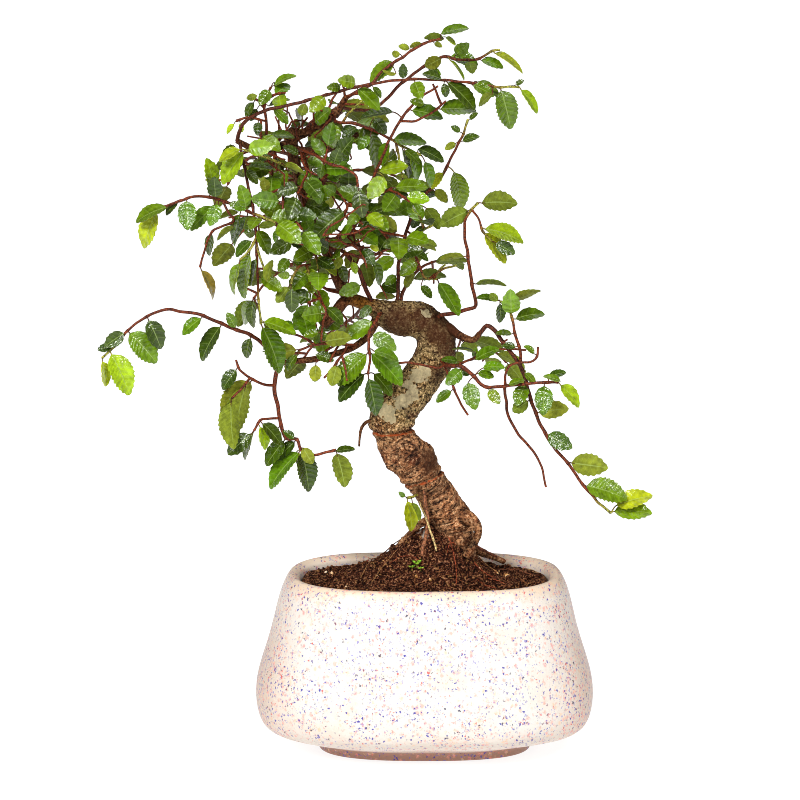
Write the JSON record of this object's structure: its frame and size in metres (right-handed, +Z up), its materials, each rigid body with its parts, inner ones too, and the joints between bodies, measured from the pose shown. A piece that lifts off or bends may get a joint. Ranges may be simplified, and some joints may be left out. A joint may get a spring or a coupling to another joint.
{
  "type": "elm bonsai in a glazed pot",
  "caption": "Small-leaved elm bonsai with an S-curved trunk, surface roots and loose trailing shoots, in a rounded oval stoneware pot with a speckled glaze.",
  "frame": {"origin": "middle of the pot's flat foot, on the surface it stands on", "axes": "+Z up, -Y towards the front of the tree, +X to the right as seen from the front"},
  "size_m": [0.241, 0.1186, 0.3215],
  "materials": {
    "speckled_glaze": "satin cream glaze with fine blue, pink and dark specks",
    "potting_soil": "damp, dark and crumbly",
    "elm_bark": "rough grey-brown bark with pale patches and ring scars",
    "elm_foliage": "thin toothed green leaves with a soft wax shine, on red-brown stems"
  },
  "bodies": {
    "root": {"pot": "speckled_glaze", "soil": "potting_soil", "trunk": "elm_bark", "shoot_top_arch": "elm_foliage", "shoot_top_sprig": "elm_foliage", "shoot_top_dark": "elm_foliage", "shoot_red": "elm_foliage", "shoot_bar": "elm_foliage", "shoot_right_crown": "elm_foliage", "shoot_right_tall": "elm_foliage", "shoot_right_trailer": "elm_foliage", "shoot_right_low": "elm_foliage", "shoot_left_trailer": "elm_foliage", "shoot_left_drop": "elm_foliage", "shoot_left_hanging": "elm_foliage", "shoot_left_arm": "elm_foliage", "shoot_front_low": "elm_foliage", "shoot_front_mid": "elm_foliage", "shoot_front_up": "elm_foliage", "shoot_crown_left": "elm_foliage", "shoot_young": "elm_foliage", "shoot_crown_front": "elm_foliage", "shoot_crown_side": "elm_foliage", "shoot_front_left": "elm_foliage", "shoot_front_centre": "elm_foliage", "shoot_under": "elm_foliage", "shoot_basal": "elm_foliage", "shoot_back_top": "elm_foliage", "shoot_back_left_high": "elm_foliage", "shoot_back_left_mid": "elm_foliage", "shoot_back_left_low": "elm_foliage", "shoot_back_mid": "elm_foliage", "shoot_back_right_high": "elm_foliage", "shoot_back_right_mid": "elm_foliage", "shoot_back_low": "elm_foliage", "shoot_back_right_low": "elm_foliage", "shoot_back_crown": "elm_foliage"}
  },
  "joints": []
}
